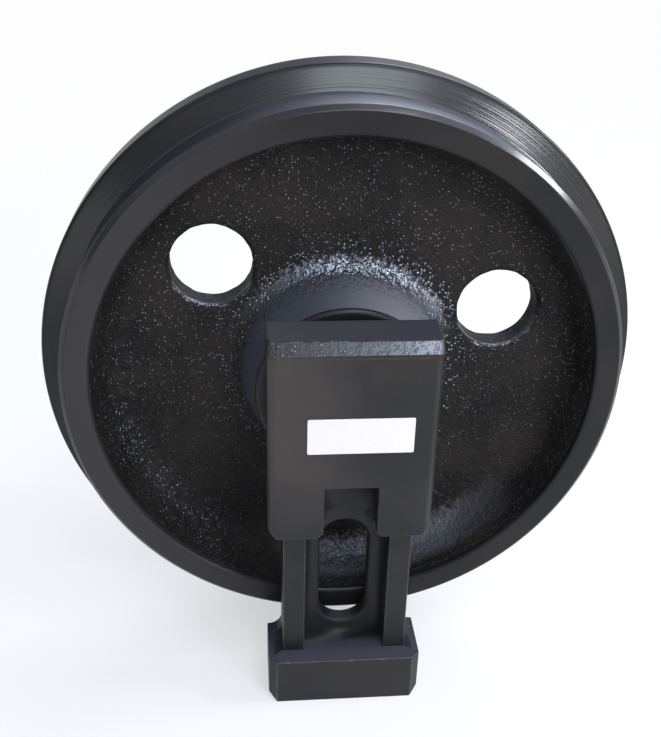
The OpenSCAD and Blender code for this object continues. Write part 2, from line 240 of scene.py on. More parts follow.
def turned_paint():
    finish = Finish("turned_paint", Specular_IOR_Level=0.26, Coat_Roughness=0.19)
    lathe = around_axle(finish)
    reach = finish.part(lathe, "X")
    rings = finish.noise(lathe, RING_SCALE, 2.0, 0.6)
    clouds = finish.noise(finish.place(), 14, 3.0)
    outside = finish.step(reach, *FACE_END)
    # Painted highlight: a pale sheen on the treads where they face up and to the right.
    sheen = finish.step(finish.facing("Z") + 0.5 * finish.facing("X") + 0.15 * clouds, *SHEEN_TURN)
    painted_sheen = outside * finish.step(reach, *TREAD_END) * sheen
    # Painted light: the left part of the faces is lighter and warmer.
    painted_left_light = (1 - outside) * finish.step(finish.at("X"), *LEFT_LIGHT_SIDE)
    coated = outside * finish.step(reach, *FLANK_END)
    lifted = finish.step(finish.at("Z"), *GLOSSY_HEIGHT)
    paint = finish.mix(finish.step(clouds, 0.4, 0.65), BLACK, WARM_BLACK)
    paint = finish.mix(painted_left_light, paint, FACE_PAINTED_LIGHT)
    finish.relief(rings * finish.step(clouds, 0.3, 0.7), RING_DEPTH)
    return finish.cover(
        Base_Color=finish.mix(painted_sheen, paint, TREAD_PAINTED_SHEEN),
        Metallic=0.4 * painted_sheen,
        Roughness=0.29 + 0.12 * rings + 0.12 * painted_sheen,
        Coat_Weight=coated * (0.10 + 0.68 * lifted),
    )


TURNED_PAINT = turned_paint()
print("turned paint has", len(TURNED_PAINT.node_tree.nodes), "nodes")

# %% [markdown]
# ## Zones of the casting skin
#
# The paint on the casting isn't the same all over. On the wheel, a ring of skin around the hub is dotted
# with shining pimples, more of them up high, and the hub's bell shines on its upper part only. Both are
# kept where the light falls, as painted highlights, and their shine is paler in a band right of the axle,
# a painted highlight too. The cone at its end is smooth, and its grey is a painted reflection, paler on
# the right as painted light.
# The foot of the dish is glossy, and the drops at its lower left are dotted. The web holes and the
# bracket's rough lip have zones of their own: the lips of the holes shine only where they face up, and the
# bracket's lip shines more towards its right end, both painted highlights. A mask could be painted by hand
# on each mesh. Here each zone is a sum of lengths from the axle, so it fits any mesh and stays sharp, and
# noise makes its edge ragged.

# %% Zones
HUB_END, RING_END, BELL_END = (0.080, 0.090), (0.080, 0.106), (0.0910, 0.0965)
CONE_ALONG, SMOOTH_ALONG = (0.0150, 0.027), (0.026, 0.046)
BELL_LIFT, BELL_SIDE = (0.020, 0.075), (-0.075, -0.005)
CORNER_START, CORNER_END = (0.166, 0.178), (0.1765, 0.1800)
DROP_SIDE, DROP_LIFT = (-0.070, -0.110), (0.010, -0.040)
FOOT_SIDE, FOOT_LIFT, FOOT_DULL = (-0.060, 0.010), (-0.100, -0.145), (0.020, 0.070)
BELL_RAGGED, CORNER_RAGGED = 0.016, 0.020
HOLE_LIP_ALONG, HOLE_LIP_TURN = (0.0070, 0.0100), (0.10, 0.60)
LIP_SIDE = (-0.07, 0.07)


def off_middle(finish, along, start, end):
    """0 near the middle of the wheel, 1 past the end length, on either side."""
    return finish.step(along * along, start ** 2, end ** 2)


def wheel_zones(finish, lumps):
    """How far a point is on dotted skin, on glossy skin, on the grey cone, and on the cone's smooth end."""
    lathe = around_axle(finish)
    reach, along = finish.part(lathe, "X"), finish.part(lathe, "Y")
    side, lift = finish.at("X"), finish.at("Z") - AXLE_HEIGHT
    hub = 1 - finish.step(reach, *HUB_END)
    cone = hub * off_middle(finish, along, *CONE_ALONG)
    smooth = hub * off_middle(finish, along, *SMOOTH_ALONG)
    # Painted highlight: the shine is kept to the upper part, and less on the left, where the light falls.
    lit_upper = finish.step(lift, *BELL_LIFT) * (0.25 + 0.75 * finish.step(side, *BELL_SIDE))
    ring = (1 - finish.step(reach, *RING_END)) * (0.30 + 0.60 * lit_upper)
    bell = (1 - finish.step(reach + BELL_RAGGED * lumps, *BELL_END)) * (1 - cone) * lit_upper
    corner = finish.step(reach + CORNER_RAGGED * lumps, *CORNER_START) * (1 - finish.step(reach, *CORNER_END))
    drops = corner * finish.step(side, *DROP_SIDE) * finish.step(lift, *DROP_LIFT)
    foot = corner * finish.step(side, *FOOT_SIDE) * finish.step(lift, *FOOT_LIFT)
    foot = foot * (0.70 - 0.45 * finish.step(side, *FOOT_DULL))
    return ring + 0.40 * drops, bell + foot, cone, smooth


def hole_zones(finish, lumps):
    """The lips of a hole are glossy where they face up, as a painted highlight, and its wall is dull."""
    lip = off_middle(finish, finish.at("Y"), *HOLE_LIP_ALONG)
    return 0.0, (0.12 + 0.78 * lip) * finish.step(finish.facing("Z"), *HOLE_LIP_TURN), 0.0, 0.0


def lip_zones(finish, lumps):
    """The bracket's lip is glossier towards its right end, as a painted highlight."""
    return 0.0, 0.04 + 0.60 * finish.step(finish.at("X"), *LIP_SIDE), 0.0, 0.0


print("zones for", [f.__name__.removesuffix("_zones") for f in (wheel_zones, hole_zones, lip_zones)])

# %% [markdown]
# ## Paint on the casting skin
#
# Sand leaves pimples about 2 mm across, and thick glossy paint rounds them off. The tallest have a pale
# colour at the tip, a painted glint that is sparser low down, and the hollows between them are dull with
# brown dust. The larger lumps are in the mesh. The pimples are domes on the cells of a Voronoi texture,
# most of them low and a few tall, in a Bump node, because a mesh fine enough for them would be millions
# of faces. Where the skin is glossy it is made metallic, with a dark colour. A clear coat would be
# simpler, but Blender's coat ignores the Bump node, and the glints are what shows the pimples.

# %% Cast paint
DUST_BLACK = (0.0042, 0.0036, 0.0036, 1)
DUST_BROWN = (0.0170, 0.0130, 0.0108, 1)
GRAIN_BROWN = (0.0300, 0.0255, 0.0220, 1)
# Painted glint: colour for the tips of the tallest pimples.
PAINTED_GLINT = (0.24, 0.24, 0.25, 1)
# Painted reflection: the cone's grey, paler towards the right as painted light.
CONE_REFLECTION_GREY, CONE_PAINTED_LIGHT, CONE_LIGHT_SIDE = (0.0620, 0.0660, 0.0790, 1), (0.2050, 0.2020, 0.2180, 1), (-0.03, 0.065)
# Painted highlight: the shine's colour is paler in a band on the right.
BELL_SHINE, BELL_PAINTED_HIGHLIGHT = (0.170, 0.180, 0.206, 1), (0.360, 0.380, 0.430, 1)
HIGHLIGHT_START, HIGHLIGHT_END = (0.015, 0.075), (0.110, 0.085)
GLINT_HEIGHT = (AXLE_HEIGHT - 0.09, AXLE_HEIGHT + 0.03)
PIMPLE_SIZE = 0.0021


def pimples(finish, here):
    """Domes, one in each cell, and a number by chance for each cell."""
    cells = {"Vector": here, "Scale": 1 / PIMPLE_SIZE}
    dome = 1 - finish.step(finish.node("TexVoronoi", {}, cells, "Distance"), 0.0, 0.6)
    return dome, finish.part(finish.node("TexVoronoi", {}, cells, "Color"), "X")


def cast_paint(name, depth, shine, hollow, zones):
    """Hollow is the roughness of the paint between the pimples."""
    finish = Finish(name, Specular_IOR_Level=shine)
    here = finish.place()
    side = finish.part(here, "X")
    swells = finish.noise(here, 190, 2.0)
    lumps = finish.noise(here, 330, 0.6)
    clouds = finish.noise(here, 16, 3.0)
    grain = finish.step(finish.noise(here, 620, 2.0, 0.6), 0.50, 0.72)
    dots, bell, cone, smooth = zones(finish, lumps)
    dome, chance = pimples(finish, here)
    domes = dome * (0.2 + 0.8 * chance * chance)
    spots = finish.step(chance + dots, 0.95, 1.05) * finish.step(dome, 0.05, 0.3)
    spots = spots * (1 - 0.5 * cone) * (1 - smooth)
    gloss = bell + spots - bell * spots
    paint = finish.mix(finish.step(clouds, 0.36, 0.68), DUST_BLACK, DUST_BROWN)
    paint = finish.mix(grain, paint, GRAIN_BROWN)
    # Painted highlight: the shine is paler in a band on the right.
    painted_highlight = finish.step(side, *HIGHLIGHT_START) * finish.step(side, *HIGHLIGHT_END)
    paint = finish.mix(gloss, paint, finish.mix(painted_highlight, BELL_SHINE, BELL_PAINTED_HIGHLIGHT))
    # Painted reflection: the cone's grey, paler on the right as painted light.
    paint = finish.mix(cone, paint, finish.mix(finish.step(side, *CONE_LIGHT_SIDE), CONE_REFLECTION_GREY, CONE_PAINTED_LIGHT))
    # Painted glints: pale tips on the tallest pimples, sparser low down.
    painted_glints = finish.step(domes + 0.35 * swells + 0.3 * clouds, 0.62, 1.05) * (1 - smooth) * (1 - 0.6 * gloss)
    painted_glints = painted_glints * (0.3 + 0.7 * finish.step(finish.part(here, "Z"), *GLINT_HEIGHT))
    finish.relief((domes + (0.9 + 1.6 * bell) * swells + bell * lumps) * (1 - smooth), depth)
    return finish.cover(
        Base_Color=finish.mix(painted_glints, paint, PAINTED_GLINT),
        Metallic=0.95 * gloss,
        Roughness=hollow + 0.1 * clouds - 0.42 * gloss - 0.3 * cone - 0.12 * finish.step(domes, 0.1, 0.35),
    )


CAST_PAINT = cast_paint("cast_paint", 0.0011, 0.26, 0.64, wheel_zones)
HOLE_PAINT = cast_paint("hole_paint", 0.0006, 0.14, 0.66, hole_zones)
print("cast paint has", len(CAST_PAINT.node_tree.nodes), "nodes")

# %% [markdown]
# ## Section of the wheel
#
# A turned part is one section swept round its axle. Blender's Screw modifier can sweep a drawn line, but
# the web holes, the grooves and the rough skin need to know where each point lies. So the section is
# written as a few corners, each with a radius, in millimetres from the axle and from the middle of the
# wheel. A small function rounds the corners and spaces the points, finer where the surface is rough and
# coarser where it is plain.

# %% Round the corners
import numpy as np

WEB_HALF = 12.5
WEB_INNER, WEB_OUTER = 91.0, 156.5
RIM_CORNERS = [
    (220, 0, 0), (220, 13, 2.5), (202, 19, 2), (202, 51, 0.8), (198.5, 54.5, 0.8), (182, 54.5, 3),
    (173, WEB_HALF, 20), (WEB_OUTER, WEB_HALF, 0),
]
HUB_CORNERS = [
    (WEB_INNER, WEB_HALF, 0), (77, WEB_HALF, 15), (65, 61, 4), (53, 61, 0.6), (53, 54, 0), (43.7, 54, 0.4),
    (43.7, 42.45, 0), (31.56, 42.45, 0.4), (31.56, 0, 0),
]
ARC_STEPS, ARC_GAP = 7, 1.8


def rounded(corners):
    """The corners as a line of points, with an arc at each corner that has a radius."""
    line = []
    for i, (x, y, radius) in enumerate(corners):
        here = Vector((x, y))
        if radius == 0:
            line.append(here)
            continue
        back = (Vector(corners[i - 1][:2]) - here).normalized()
        on = (Vector(corners[i + 1][:2]) - here).normalized()
        half = back.angle(on) / 2
        middle = here + (back + on).normalized() * radius / math.sin(half)
        start = here + back * radius / math.tan(half) - middle
        turn = math.copysign(math.pi - 2 * half, back.cross(on))
        steps = max(ARC_STEPS, round(abs(turn) * radius / ARC_GAP))
        line += [middle + Matrix.Rotation(-turn * k / steps, 2) @ start for k in range(steps + 1)]
    return line


rim_line, hub_line = rounded(RIM_CORNERS), rounded(HUB_CORNERS)
print("rounded lines:", len(rim_line), "points on the rim and", len(hub_line), "on the hub")

# %% Space the points
FLANK_GAP, CAST_GAP, PLAIN_GAP = 0.36, 1.8, 6.0
FLANK_INNER, FLANK_OUTER = 202.5, 219.5
DISH_EDGE, CONE_EDGE = 181, 62


def rim_gap(point):
    if FLANK_INNER < point.x < FLANK_OUTER:
        return FLANK_GAP
    return CAST_GAP if point.x < DISH_EDGE else PLAIN_GAP


def hub_gap(point):
    return CAST_GAP if point.x > CONE_EDGE else PLAIN_GAP


def spaced(line, gap):
    """The same line with more points, so that none are further apart than the gap gives for that stretch."""
    points = [line[0]]
    for a, b in zip(line, line[1:]):
        parts = max(1, math.ceil((b - a).length / gap((a + b) / 2)))
        points += [a.lerp(b, k / parts) for k in range(1, parts + 1)]
    return np.array(points)


rim_section = spaced(rim_line, rim_gap)
hub_section = spaced(hub_line, hub_gap)
print("section points:", len(rim_section), "on the rim and", len(hub_section), "on the hub")

# %% [markdown]
# ## Tool marks on the flange
#
# A coarse tool has left fine grooves on the sloping sides of the flange, uneven in depth and spacing. A
# Bump node could draw them, but they catch the light up to the edge of the flange, so they are real
# grooves in the mesh: the points of that stretch are moved in and out along the slope's normal. Noise over
# the radius gives the lines, and a slow change round the wheel makes them wander and fade.

# %% Sweep the section
from mathutils import noise

TURNS = 480
HOLE_COUNT, HOLE_RADIUS, HOLE_CIRCLE, HOLE_TURN = 3, 30.0, 123.5, 20.3
GROOVE_PITCH, GROOVE_DEPTH, GROOVE_WANDER = 0.80, 0.065, 1.6
FLANK_FOOT, FLANK_TOP = 203.5, 217.5
FLANK_NORMAL = Vector((6, 18)).normalized()


def angle_at(step):
    """Angle of a step round the wheel; step 0 is at the middle of the first hole."""
    return math.radians(HOLE_TURN) + step * 2 * math.pi / TURNS


def polar(radius, angle, along):
    return np.stack(np.broadcast_arrays(radius * np.cos(angle), along, radius * np.sin(angle)), axis=-1)


def groove_depths(section):
    """How far each point of the section, at each step, is moved along the slope's normal."""
    depths = np.zeros((len(section), TURNS + 1))
    for i, (radius, _) in enumerate(section):
        edge = min(radius - FLANK_FOOT, FLANK_TOP - radius)
        if edge < 0:
            continue
        for j in range(TURNS):
            turn = 2 * math.pi * j / TURNS
            wander = (GROOVE_WANDER * math.cos(turn), GROOVE_WANDER * math.sin(turn))
            lines = noise.fractal(Vector((radius / GROOVE_PITCH, *wander)), 1.0, 2.0, 2)
            depths[i, j] = GROOVE_DEPTH * min(edge, 1) * lines
    depths[:, TURNS] = depths[:, 0]
    return depths


def swept(section, side, depths):
    """Grid of points of a section that is swept round the axle; side is -1 for the near half."""
    radius = section[:, :1] + depths * FLANK_NORMAL.x
    along = section[:, 1:] + depths * FLANK_NORMAL.y
    return polar(radius, angle_at(np.arange(TURNS + 1)), side * along)


grids = []
for section in (rim_section, hub_section):
    grooves = groove_depths(section)
    grids += [swept(section, side, grooves) for side in (-1, 1)]
    print("deepest groove", round(abs(grooves.min()), 3), "mm, swept grid", grids[-1].shape[:2])

# %% [markdown]
# ## Web with three holes
#
# The web is a flat ring between the hub and the rim. Cutting round holes with a boolean leaves long thin
# faces that spoil the rough skin. Here the ring is a polar grid with a window around each hole, and a
# second grid joins the window's edge to the hole's edge. All faces stay near the same size, and each hole
# has a rounded lip.

# %% Web and holes
WEB_ROWS = 40
WINDOW = 22
COLLAR_ROWS = 9
LIP_RADIUS, LIP_STEPS = 4.5, 6
WALL_ROWS = 8
web_radii = np.linspace(WEB_INNER, WEB_OUTER, WEB_ROWS + 1)


def window_edge(middle):
    """Points round the window of the hole whose middle is at this step."""
    steps = range(middle - WINDOW, middle + WINDOW)
    edge = [(WEB_INNER, j) for j in steps]
    edge += [(r, middle + WINDOW) for r in web_radii[:-1]]
    edge += [(WEB_OUTER, 2 * middle - j) for j in steps]
    edge += [(r, middle - WINDOW) for r in web_radii[:0:-1]]
    radius, step = np.array(edge + edge[:1]).T
    return polar(radius, angle_at(step), 0)


def hole_line():
    """Lip, wall and lip of a hole, as (distance past the hole's radius, place along the axle)."""
    lip = [(LIP_RADIUS * (1 - math.sin(a)), WEB_HALF - LIP_RADIUS * (1 - math.cos(a)))
           for a in np.linspace(0, math.pi / 2, LIP_STEPS + 1)]
    wall = [(0, y) for y in np.linspace(lip[-1][1], -lip[-1][1], WALL_ROWS + 1)[1:-1]]
    return lip + wall + [(r, -y) for r, y in reversed(lip)]


def hole_grids(middle):
    """The collar between a window and its hole on both sides, and the hole's lips and wall."""
    outer = window_edge(middle)
    centre = polar(HOLE_CIRCLE, angle_at(middle), 0)
    spokes = outer - centre
    spokes = spokes / np.linalg.norm(spokes, axis=1)[:, None]
    lip_edge = centre + spokes * (HOLE_RADIUS + LIP_RADIUS)
    collar = np.array([outer + (lip_edge - outer) * k / COLLAR_ROWS for k in range(COLLAR_ROWS + 1)])
    bore = [centre + spokes * (HOLE_RADIUS + r) + np.array([0, -y, 0]) for r, y in hole_line()]
    return [collar + [0, -WEB_HALF, 0], collar + [0, WEB_HALF, 0], np.array(bore)]


for k in range(HOLE_COUNT):
    middle = k * TURNS // HOLE_COUNT
    steps = np.arange(middle + WINDOW, middle + TURNS // HOLE_COUNT - WINDOW + 1)
    grids += [polar(web_radii[:, None], angle_at(steps), side * WEB_HALF) for side in (-1, 1)]
    grids += hole_grids(middle)
print(len(grids), "grids,", sum(g.shape[0] * g.shape[1] for g in grids), "points before welding")

# %% [markdown]
# ## One skin for the wheel
#
# The grids share their edge points, so welding equal points turns them into one closed skin. Joining
# objects in the editor and merging by distance does the same by hand. Done in code, it can be counted: a
# closed skin has no open edges.

# %% Weld the grids
import bmesh

MM = 0.001
WELD = 2e-6
AXLE = np.array([0, 0, AXLE_HEIGHT])


def grid_faces(rows, columns, first):
    corner = first + np.arange(rows - 1)[:, None] * columns + np.arange(columns - 1)
    return np.stack([corner, corner + 1, corner + columns + 1, corner + columns], axis=-1).reshape(-1, 4)


def open_edges(body):
    return sum(not e.is_manifold for e in body.edges)


def welded(name, grids):
    points, faces, count = [], [], 0
    for grid in grids:
        rows, columns = grid.shape[:2]
        points.append(grid.reshape(-1, 3) * MM + AXLE)
        faces.append(grid_faces(rows, columns, count))
        count += rows * columns
    mesh = bpy.data.meshes.new(name)
    mesh.from_pydata(np.concatenate(points).tolist(), [], np.concatenate(faces).tolist())
    body = bmesh.new()
    body.from_mesh(mesh)
    bmesh.ops.remove_doubles(body, verts=body.verts, dist=WELD)
    bmesh.ops.recalc_face_normals(body, faces=body.faces)
    return mesh, body


wheel_mesh, wheel_body = welded("idler_wheel_skin", grids)
print("wheel:", len(wheel_body.verts), "points,", len(wheel_body.faces), "faces,",
      open_edges(wheel_body), "open edges")

# %% [markdown]
# ## Rough skin and drops
#
# Now that the skin is closed, each point can move along its own normal. Two sizes of lump come from noise,
# and thick drops of paint and metal lie in the corner at the lower left of the dish. A Displace modifier
# would roughen the turned faces too, so the code moves only the points that keep their casting skin.

# %% Roughen the skin
import random

SKIN_WAVE, SKIN_DEPTH = 0.0085, 0.00042
SKIN_END = (181.5 * MM, 178 * MM)
BARE_ALONG, BARE_REACH = (20 * MM, 30 * MM), (86 * MM, 78 * MM)
DROP_COUNT, DROP_SEED, DROP_HEIGHT = 90, 11, 0.5
DROP_ANGLES, DROP_CLIMBS, DROP_SIZES = (165, 262, 222), (0, 1, 0.35), (1.8, 4.2)
DROP_REACH, DROP_SPREAD = (158, 18), (-13, -14)


def ramp(value, start, end):
    return np.clip((value - start) / (end - start), 0, 1)


def skin_share(points):
    """1 where the wheel keeps its rough casting skin, 0 where it is turned or smooth."""
    reach = np.hypot(points[:, 0], points[:, 2] - AXLE_HEIGHT)
    cone = ramp(np.abs(points[:, 1]), *BARE_ALONG) * ramp(reach, *BARE_REACH)
    return ramp(reach, *SKIN_END) * (1 - cone)


def drop_heights(points):
    """Height of the drops in the lower left corner of the near dish."""
    height = np.zeros(len(points))
    chance = random.Random(DROP_SEED)
    for _ in range(DROP_COUNT):
        angle = math.radians(chance.triangular(*DROP_ANGLES))
        climb = chance.triangular(*DROP_CLIMBS)
        size = chance.uniform(*DROP_SIZES) * MM
        reach = DROP_REACH[0] + DROP_REACH[1] * climb
        spot = AXLE + MM * polar(reach, angle, DROP_SPREAD[0] + DROP_SPREAD[1] * climb * climb)
        away = np.sum((points - spot) ** 2, axis=1) / size ** 2
        height = np.maximum(height, DROP_HEIGHT * size * np.exp(-away))
    return height


wheel_body.normal_update()
points = np.array([v.co for v in wheel_body.verts])
shares, heights = skin_share(points), drop_heights(points)
for vertex, share, height in zip(wheel_body.verts, shares, heights):
    if share > 0:
        lump = noise.fractal(vertex.co / SKIN_WAVE, 1.0, 2.0, 2)
        vertex.co += vertex.normal * (share * (SKIN_DEPTH * lump + height))
print("rough points:", int((shares > 0).sum()), "and tallest drop", round(heights.max() / MM, 2), "mm")

# %% [markdown]
# ## Wheel piece
#
# The skin takes three finishes: turned paint, cast paint, and the duller paint in the web holes. Faces
# could be picked by hand, but their distance from the axle says which finish each one gets. The piece
# stands for the CAD wheel and turns with the wheel's body.

# %% Finish the wheel
TURNED_SLOT, CAST_SLOT, HOLE_SLOT = 0, 1, 2
CAST_INNER, CAST_OUTER, CAST_ALONG = 64.5 * MM, 181 * MM, 58 * MM
HOLE_ALONG = (WEB_HALF - 1) * MM
WHEEL_SHARP = math.radians(50)


def wheel_slot(face):
    middle = face.calc_center_median()
    reach = math.hypot(middle.x, middle.z - AXLE_HEIGHT)
    if not CAST_INNER < reach < CAST_OUTER or abs(middle.y) > CAST_ALONG:
        return TURNED_SLOT
    in_hole = abs(middle.y) < HOLE_ALONG and WEB_INNER * MM < reach < WEB_OUTER * MM
    return HOLE_SLOT if in_hole else CAST_SLOT


def painted_mesh(mesh, body, finishes, sharp):
    """Writes a body to its mesh, smooth but for sharp edges, with these finishes."""
    for face in body.faces:
        face.smooth = True
    body.to_mesh(mesh)
    body.free()
    for finish in finishes:
        mesh.materials.append(finish)
    mesh.set_sharp_from_angle(angle=sharp)
    return mesh


for face in wheel_body.faces:
    face.material_index = wheel_slot(face)
painted_mesh(wheel_mesh, wheel_body, (TURNED_PAINT, CAST_PAINT, HOLE_PAINT), WHEEL_SHARP)
wheel = put("idler_wheel_skin", wheel_mesh)
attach(wheel, "wheel")
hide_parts("idler_wheel")
print("wheel box:", [round(d, 4) for d in wheel.dimensions])

# %% [markdown]
# ## Paint on the brackets
#
# A bracket is a casting with milled faces, and the coat on it is thinner and more even than on the wheel.
# It has faint clouds, a slight orange peel, and a little rust where water sits under the lip of the head
# block. The upper left of its front is painted lighter and warmer, as painted light, and its tops are dulled
# by dust and painted lighter and bluish, as painted sky light. Each could be a picture, but height, side
# and the direction of a face already say where these go and where water stays. The rust is placed by
# height alone, so it runs along the whole lip. A second finish, scuffed to the metal and a little lighter
# than the paint beside it as a painted edge highlight, is for the rounded edges.

# %% Bracket paint
LIP_BOTTOM = 0.2995
BRACKET_BLACK = (0.0140, 0.0138, 0.0150, 1)
BRACKET_WARM = (0.0205, 0.0190, 0.0180, 1)
# Painted light: colour and place of the lighter upper left of the front.
BRACKET_PAINTED_LIGHT, BRACKET_LIGHT_SIDE, BRACKET_LIGHT_HEIGHT = (0.0540, 0.0450, 0.0395, 1), (-0.005, 0.085), (0.14, 0.24)
# Painted sky light: lighter bluish colour of the upward faces.
TOP_PAINTED_SKY_LIGHT, TOP_TURN, HEAD_HEIGHT = (0.0410, 0.0420, 0.0530, 1), (0.75, 0.97), (0.12, 0.25)
RUST = (0.060, 0.036, 0.020, 1)
RUST_LOW = (LIP_BOTTOM - 0.0036, LIP_BOTTOM - 0.0028)
RUST_HIGH = (LIP_BOTTOM - 0.0012, LIP_BOTTOM - 0.0020)
# Painted edge highlight: the edge paint is lighter than the bracket's black; steel shows where it is scuffed.
EDGE_HIGHLIGHT_BLACK, WORN_STEEL = (0.026, 0.026, 0.027, 1), (0.11, 0.106, 0.102, 1)
PEEL_DEPTH, SCUFF_DEPTH = 0.00006, 0.0001


def bracket_paint():
    finish = Finish("bracket_paint", Specular_IOR_Level=0.28)
    here = finish.place()
    side, height = finish.part(here, "X"), finish.part(here, "Z")
    clouds = finish.noise(here, 22, 4.0)
    specks = finish.step(finish.noise(here, 260, 3.0, 0.7), 0.36, 0.60)
    rust = finish.step(height, *RUST_LOW) * finish.step(height, *RUST_HIGH) * specks
    # Painted light: the upper left of the front is lighter and warmer.
    upper_left_light = finish.step(0.05 * clouds - side, *BRACKET_LIGHT_SIDE) * finish.step(height, *BRACKET_LIGHT_HEIGHT)
    # Painted sky light: upward faces are lighter and bluish, less so on the head top; dust also makes them
    # duller.
    dust_and_sky_tops = finish.step(finish.facing("Z"), *TOP_TURN) * (1 - 0.35 * finish.step(height, *HEAD_HEIGHT))
    paint = finish.mix(finish.step(clouds, 0.4, 0.62), BRACKET_BLACK, BRACKET_WARM)
    paint = finish.mix(upper_left_light, paint, BRACKET_PAINTED_LIGHT)
    paint = finish.mix(dust_and_sky_tops, paint, TOP_PAINTED_SKY_LIGHT)
    finish.relief(finish.noise(here, 900, 2.0), PEEL_DEPTH)
    return finish.cover(
        Base_Color=finish.mix(rust, paint, RUST),
        Roughness=0.4 + 0.12 * clouds + 0.2 * rust + 0.35 * dust_and_sky_tops,
    )


def worn_and_highlight_paint():
    # Painted edge highlight: the rounded edges are a little lighter than the paint beside them; the scuffs to
    # steel are wear.
    finish = Finish("worn_and_highlight_paint", Specular_IOR_Level=0.4)
    here = finish.place()
    scuffs = finish.step(finish.noise(here, 160, 4.0, 0.65), 0.52, 0.68)
    finish.relief(finish.noise(here, 700, 2.0), SCUFF_DEPTH)
    return finish.cover(
        Base_Color=finish.mix(scuffs, EDGE_HIGHLIGHT_BLACK, WORN_STEEL),
        Roughness=0.38 + 0.12 * scuffs,
        Metallic=0.5 * scuffs,
    )


BRACKET_PAINT = bracket_paint()
WORN_AND_HIGHLIGHT_PAINT = worn_and_highlight_paint()
LIP_PAINT = cast_paint("lip_paint", 0.0007, 0.5, 0.60, lip_zones)
print("bracket finishes:", [m.name for m in (BRACKET_PAINT, WORN_AND_HIGHLIGHT_PAINT, LIP_PAINT)])

# %% [markdown]
# ## Edges of the brackets
#
# The CAD solid already has the right faces, but its edges are razor sharp, and no painted casting has such
# edges. A Bevel modifier rounds all edges alike. Here the edges are sorted first: the oblong hole has a
# wide round edge, the ends of the lip a wider one, the lip's lower edge a fine one, and all other outer
# edges a small one. Bores that hold the shaft and the pins stay sharp, because other pieces sit in them.

# %% Sort the edges
SHARP = math.radians(25)
TOUCH = 1e-4
PIN_HEIGHT, PIN_ALONG, PIN_ROOM = 0.2185, 0.0875, 0.009
BORE_ROOM = 0.0525
OBLONG_HALF, OBLONG_LOW, OBLONG_HIGH, PLATE_FRONT = 0.0185, 0.0505, 0.1465, 0.076
BRACKET_FRONT, HEAD_TOP = 0.1095, 0.307
LIP_RUN, LIP_ROOM, LIP_CLEAR = 0.004, 0.02, 0.001


def in_pin_hole(point):
    return math.hypot(abs(point.y) - PIN_ALONG, point.z - PIN_HEIGHT) < PIN_ROOM


def in_bore(point):
    return math.hypot(point.x, point.z - AXLE_HEIGHT) < BORE_ROOM


def outer_edges(body):
    """Convex sharp edges on the outside of a bracket."""
    found = []
    for edge in body.edges:
        ends = [v.co for v in edge.verts]
        hidden = all(in_pin_hole(p) for p in ends) or all(in_bore(p) for p in ends)
        if edge.is_manifold and edge.is_convex and edge.calc_face_angle() > SHARP and not hidden:
            found.append(edge)
    return found


def is_lip_end(edge):
    a, b = (v.co for v in edge.verts)
    run, rise = abs(a.y - b.y), abs(a.z - b.z)
    at_lip = min(a.z, b.z) > LIP_BOTTOM - TOUCH and max(abs(a.y), abs(b.y)) > BRACKET_FRONT - TOUCH
    return at_lip and abs(run - rise) < TOUCH and run > LIP_RUN


def is_lip_edge(edge):
    return all(abs(v.co.z - LIP_BOTTOM) < TOUCH and abs(v.co.y) > BRACKET_FRONT - LIP_ROOM
               for v in edge.verts)


def is_hole_edge(edge):
    return all(abs(v.co.x) < OBLONG_HALF + TOUCH and abs(abs(v.co.y) - PLATE_FRONT) < TOUCH
               and OBLONG_LOW - TOUCH < v.co.z < OBLONG_HIGH + TOUCH for v in edge.verts)


def is_plain_edge(edge):
    return all(v.co.z < LIP_BOTTOM - LIP_CLEAR or v.co.z > HEAD_TOP - TOUCH for v in edge.verts)


print("edges are rounded where they turn by more than", round(math.degrees(SHARP)), "degrees")

# %% Round the edges
PLAIN_SLOT, WORN_HIGHLIGHT_SLOT, LIP_SLOT = 0, 1, 2
FLAT = math.radians(0.6)
EDGE_ROUND, HOLE_ROUND, LIP_END_ROUND, LIP_EDGE_ROUND = 0.0009, 0.0028, 0.0045, 0.0005


def round_edges(body, edges, size, steps, slot=WORN_HIGHLIGHT_SLOT):
    bmesh.ops.bevel(body, geom=edges, offset=size, offset_type="OFFSET", segments=steps, profile=0.5,
                    affect="EDGES", clamp_overlap=False, material=slot)


def rounded_copy(node):
    """A copy of the node's mesh with flat facets joined again and its edges rounded."""
    body = bmesh.new()
    body.from_mesh(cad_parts[node].data)
    bmesh.ops.remove_doubles(body, verts=body.verts, dist=WELD)
    bmesh.ops.dissolve_limit(body, angle_limit=FLAT, verts=body.verts, edges=body.edges)
    for face in body.faces:
        face.material_index = PLAIN_SLOT
    round_edges(body, [e for e in outer_edges(body) if is_hole_edge(e)], HOLE_ROUND, 4, PLAIN_SLOT)
    round_edges(body, [e for e in body.edges if is_lip_end(e)], LIP_END_ROUND, 6)
    round_edges(body, [e for e in outer_edges(body) if is_lip_edge(e)], LIP_EDGE_ROUND, 2)
    round_edges(body, [e for e in outer_edges(body) if is_plain_edge(e)], EDGE_ROUND, 3)
    return body


bracket_bodies = {node: rounded_copy(node) for node in ("bracket_near", "bracket_far")}
for node, body in bracket_bodies.items():
    print(node, "has", len(body.faces), "faces and", open_edges(body), "open edges")

# %% [markdown]
# ## Bracket pieces
#
# The lip along the top of each head block was never milled, so it is rough. One large face can't be
# roughened, and subdividing it would leave long thin faces. Planes cut it into a fine grid, and the inner
# points of that grid move in and out by noise. The edge points stay, so the lip still meets its
# neighbours.

